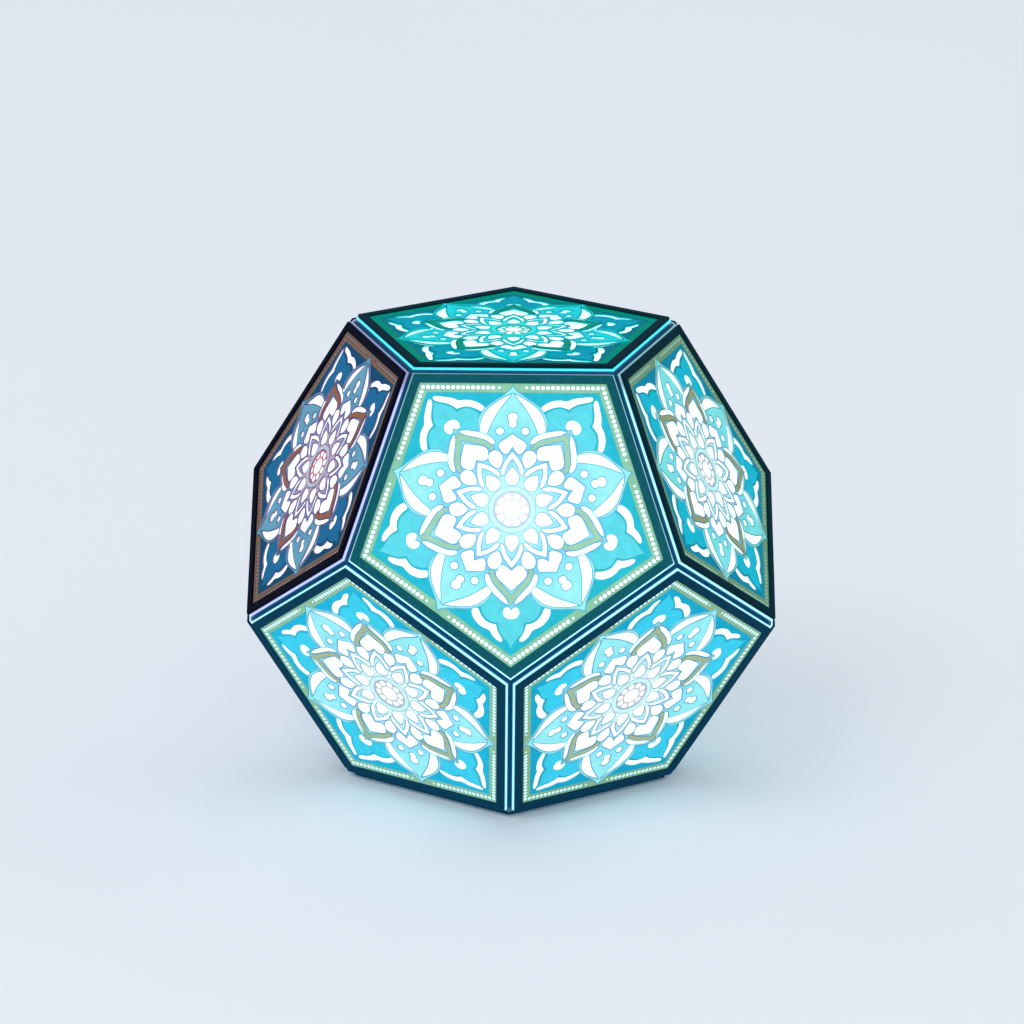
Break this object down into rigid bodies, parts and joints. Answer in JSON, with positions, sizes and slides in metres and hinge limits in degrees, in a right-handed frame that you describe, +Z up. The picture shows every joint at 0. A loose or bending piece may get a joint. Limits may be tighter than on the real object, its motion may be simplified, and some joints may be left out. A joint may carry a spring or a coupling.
{
  "type": "dodecahedron lantern",
  "caption": "Dodecahedron table lantern with pierced mandala panels over glowing diffusers; the shell lifts off a magnetic base with a battery lamp and a push button underneath.",
  "frame": {"origin": "on the table under the lantern's centre", "axes": "+Z up through the middle of the top panel, -Y out of the front, towards the edge where the top panel meets the front panel"},
  "size_m": [0.1482, 0.156, 0.128],
  "materials": {
    "rim": "dark stained, matt",
    "fretwork": "layered translucent card",
    "diffuser": "opal acrylic",
    "edge_frame": "matt black",
    "board": "raw fibreboard",
    "magnet": "nickel plated",
    "steel": "plated",
    "housing": "fine moulded grain",
    "button": "satin",
    "circuit": "solder mask",
    "battery": "foil pouch",
    "light_head": "white",
    "globe": "frosted"
  },
  "bodies": {
    "base": {"base_rim": "rim", "base_plate": "diffuser", "base_board": "board", "base_magnet_1": "magnet", "base_magnet_2": "magnet", "base_magnet_3": "magnet", "base_magnet_4": "magnet", "base_magnet_5": "magnet", "housing_screw_1": "steel", "housing_screw_2": "steel", "housing_screw_3": "steel", "lamp_housing": "housing", "housing_floor": "housing", "button_switch": "steel", "charging_socket": "steel", "circuit_board": "circuit", "battery_cell": "battery", "lamp_stem": "housing", "light_head": "light_head", "lamp_globe": "globe"},
    "shell": {"edge_frame": "edge_frame", "rim_top": "rim", "fretwork_top": "fretwork", "diffuser_top": "diffuser", "rim_upper_1": "rim", "fretwork_upper_1": "fretwork", "diffuser_upper_1": "diffuser", "rim_upper_2": "rim", "fretwork_upper_2": "fretwork", "diffuser_upper_2": "diffuser", "rim_upper_3": "rim", "fretwork_upper_3": "fretwork", "diffuser_upper_3": "diffuser", "rim_upper_4": "rim", "fretwork_upper_4": "fretwork", "diffuser_upper_4": "diffuser", "rim_upper_5": "rim", "fretwork_upper_5": "fretwork", "diffuser_upper_5": "diffuser", "rim_lower_1": "rim", "fretwork_lower_1": "fretwork", "diffuser_lower_1": "diffuser", "rim_lower_2": "rim", "fretwork_lower_2": "fretwork", "diffuser_lower_2": "diffuser", "rim_lower_3": "rim", "fretwork_lower_3": "fretwork", "diffuser_lower_3": "diffuser", "rim_lower_4": "rim", "fretwork_lower_4": "fretwork", "diffuser_lower_4": "diffuser", "rim_lower_5": "rim", "fretwork_lower_5": "fretwork", "diffuser_lower_5": "diffuser", "shell_magnet_1": "magnet", "shell_magnet_2": "magnet", "shell_magnet_3": "magnet", "shell_magnet_4": "magnet", "shell_magnet_5": "magnet"},
    "button": {"power_button": "button"}
  },
  "joints": [
    {"name": "shell_lift", "type": "slide", "parent": "base", "child": "shell", "axis": [0, 0, 1], "range_m": [0, 0.12]},
    {"name": "power_button_press", "type": "slide", "parent": "base", "child": "button", "axis": [0, 0, 1], "range_m": [0, 0.0006], "stiffness_N_per_m": 2500}
  ]
}
